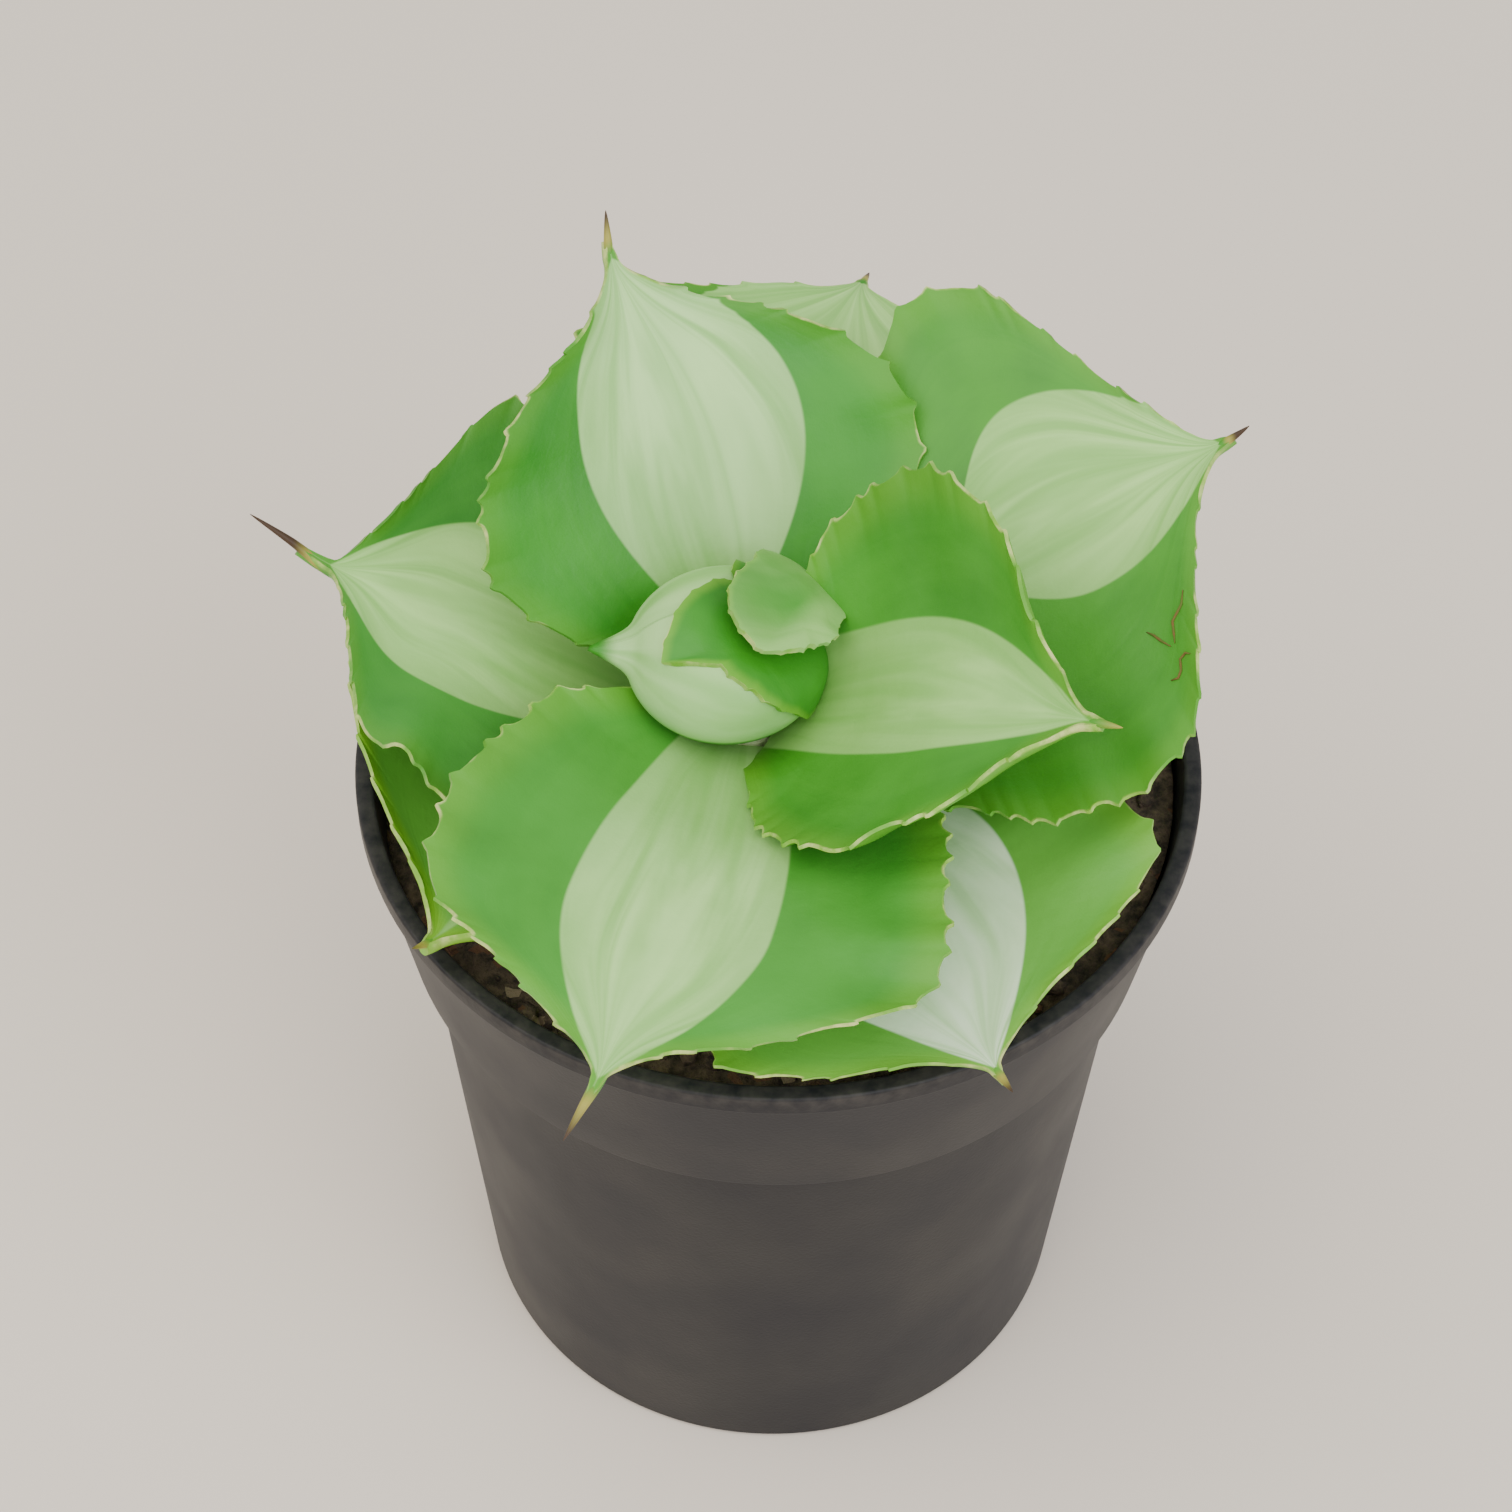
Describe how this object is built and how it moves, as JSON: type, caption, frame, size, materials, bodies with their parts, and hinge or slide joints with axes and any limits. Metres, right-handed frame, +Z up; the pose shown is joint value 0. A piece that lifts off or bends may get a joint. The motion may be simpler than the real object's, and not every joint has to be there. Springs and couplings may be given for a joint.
{
  "type": "potted agave",
  "caption": "Young rosette agave with broad, pale-marked, toothed and spine-tipped leaves round a rolled bud, growing in a round plain nursery pot of soil.",
  "frame": {"origin": "centre of the pot's flat underside", "axes": "+Z up, +X to the right of someone facing the plant's front, which is -Y"},
  "size_m": [0.1367, 0.159, 0.1708],
  "materials": {
    "pot_plastic": "moulded dark grey polypropylene, satin",
    "potting_soil": "damp dark peat with crumbs and fibres",
    "stem_flesh": "pale plant flesh",
    "bud_skin": "pale waxy leaf skin",
    "leaf_skin": "waxy green leaf skin with pale marks and straw-yellow margins"
  },
  "bodies": {
    "root": {"pot": "pot_plastic", "soil": "potting_soil", "stem": "stem_flesh", "bud_heart": "bud_skin", "bud_leaf_wrapped": "leaf_skin", "bud_leaf_hooded": "leaf_skin", "inner_leaf_right": "leaf_skin", "inner_leaf_back": "leaf_skin", "inner_leaf_front": "leaf_skin", "outer_leaf_right": "leaf_skin", "outer_leaf_left": "leaf_skin", "outer_leaf_front": "leaf_skin", "outer_leaf_back": "leaf_skin", "outer_leaf_low": "leaf_skin"}
  },
  "joints": []
}
